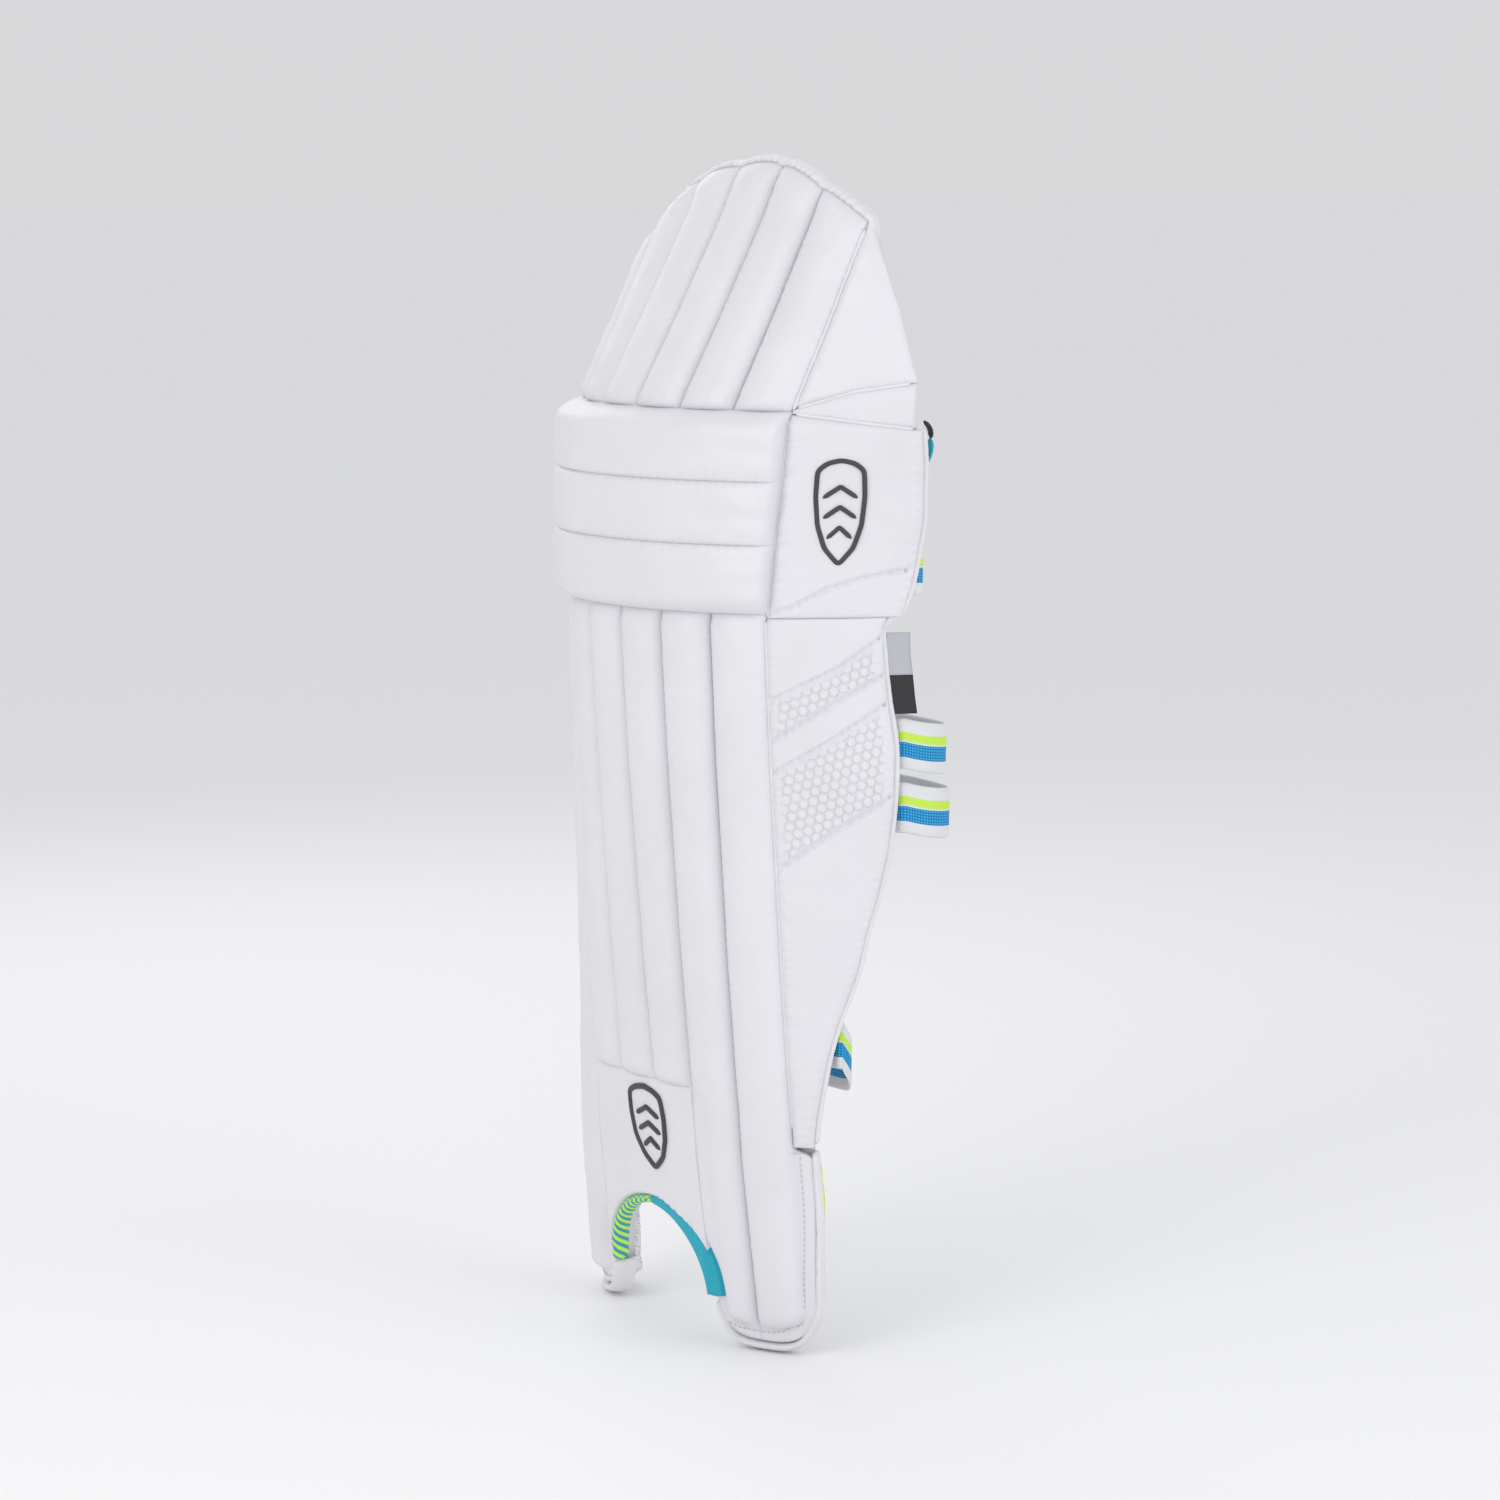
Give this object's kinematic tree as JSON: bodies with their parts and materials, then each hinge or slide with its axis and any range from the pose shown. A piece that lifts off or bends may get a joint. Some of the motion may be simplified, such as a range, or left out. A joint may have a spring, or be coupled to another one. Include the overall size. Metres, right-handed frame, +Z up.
{
  "type": "cricket leg pad",
  "caption": "Left-leg batting pad with padded upright channels, proud knee rolls, folding top flap, flexing calf wing, instep arch and hook-and-loop leg straps.",
  "frame": {"origin": "centre of the bounding box in plan, at the level of the flat feet of the two lobes", "axes": "+Z up the shin, -Y the front face that meets the ball, +X the outer side with the calf wing, +Y the open back"},
  "size_m": [0.2968, 0.1898, 0.7188],
  "materials": {
    "white_leather": "satin coated synthetic leather",
    "mesh_cloth": "matt spacer mesh",
    "foam": "matt cloth over foam",
    "cane": "raw cane",
    "teal_binding": "satin binding",
    "striped_binding": "satin striped binding",
    "piping": "satin",
    "webbing": "woven webbing, white with lime and blue stripes",
    "hook_tape": "matt hook and loop tape",
    "badge_rubber": "matt moulded rubber",
    "label": "satin woven tag"
  },
  "bodies": {
    "shin": {"shin_channel_1": "white_leather", "cane_1": "cane", "shin_channel_2": "white_leather", "cane_2": "cane", "shin_channel_3": "white_leather", "cane_3": "cane", "shin_channel_4": "white_leather", "cane_4": "cane", "shin_channel_5": "white_leather", "cane_5": "cane", "shin_channel_6": "white_leather", "cane_6": "cane", "shin_channel_7": "white_leather", "cane_7": "cane", "shin_lining": "mesh_cloth", "instep_panel": "white_leather", "lobe_backing_lateral": "mesh_cloth", "lobe_binding_lateral": "piping", "lobe_backing_medial": "mesh_cloth", "lobe_binding_medial": "piping", "instep_binding_striped": "striped_binding", "instep_binding_teal": "teal_binding", "knee_roll_lower": "white_leather", "knee_roll_middle": "white_leather", "knee_roll_upper": "white_leather", "knee_backing": "foam", "inner_flap": "white_leather", "inner_flap_piping": "piping", "bolster_lateral": "foam", "bolster_medial": "foam", "knee_cup": "foam", "instep_badge": "badge_rubber", "knee_loop": "hook_tape", "calf_loop": "hook_tape", "ankle_loop": "hook_tape"},
    "top_hat": {"hat_channel_1": "white_leather", "hat_channel_2": "white_leather", "hat_channel_3": "white_leather", "hat_channel_4": "white_leather", "hat_channel_5": "white_leather", "hat_channel_6": "white_leather", "hat_lining": "mesh_cloth", "hat_side_lateral": "white_leather", "hat_side_medial": "white_leather", "hat_binding": "piping", "knee_gusset": "white_leather"},
    "outer_wing": {"wing_knee_panel": "white_leather", "wing_calf_panel": "white_leather", "wing_piping": "piping", "sewn_label": "label", "knee_badge": "badge_rubber"},
    "knee_strap": {"knee_strap": "webbing", "knee_hook": "hook_tape"},
    "calf_upper_strap": {"calf_upper_strap": "webbing", "calf_upper_hook": "hook_tape"},
    "calf_lower_strap": {"calf_lower_strap": "webbing", "calf_lower_hook": "hook_tape"},
    "ankle_strap": {"ankle_strap": "webbing", "ankle_hook": "hook_tape"}
  },
  "joints": [
    {"name": "hat_flex", "type": "hinge", "parent": "shin", "child": "top_hat", "pos_m": [-0.01255, -0.07064, 0.567], "axis": [-1, 0, 0], "range_deg": [0, 8], "deforming": ["knee_gusset"]},
    {"name": "wing_flex", "type": "hinge", "parent": "shin", "child": "outer_wing", "pos_m": [0.1065, -0.02466, 0.355], "axis": [-0.0104, 0.016, -0.9998], "range_deg": [0, 10]},
    {"name": "knee_strap_swing", "type": "hinge", "parent": "outer_wing", "child": "knee_strap", "pos_m": [0.13193, 0.04833, 0.472], "axis": [0, 0, -1], "range_deg": [0, 50]},
    {"name": "calf_upper_strap_swing", "type": "hinge", "parent": "outer_wing", "child": "calf_upper_strap", "pos_m": [0.12921, 0.0433, 0.364], "axis": [0, 0, -1], "range_deg": [0, 50]},
    {"name": "calf_lower_strap_swing", "type": "hinge", "parent": "outer_wing", "child": "calf_lower_strap", "pos_m": [0.13049, 0.04343, 0.326], "axis": [0, 0, -1], "range_deg": [0, 50]},
    {"name": "ankle_strap_swing", "type": "hinge", "parent": "outer_wing", "child": "ankle_strap", "pos_m": [0.11984, 0.01029, 0.174], "axis": [0, 0, -1], "range_deg": [0, 50]}
  ]
}
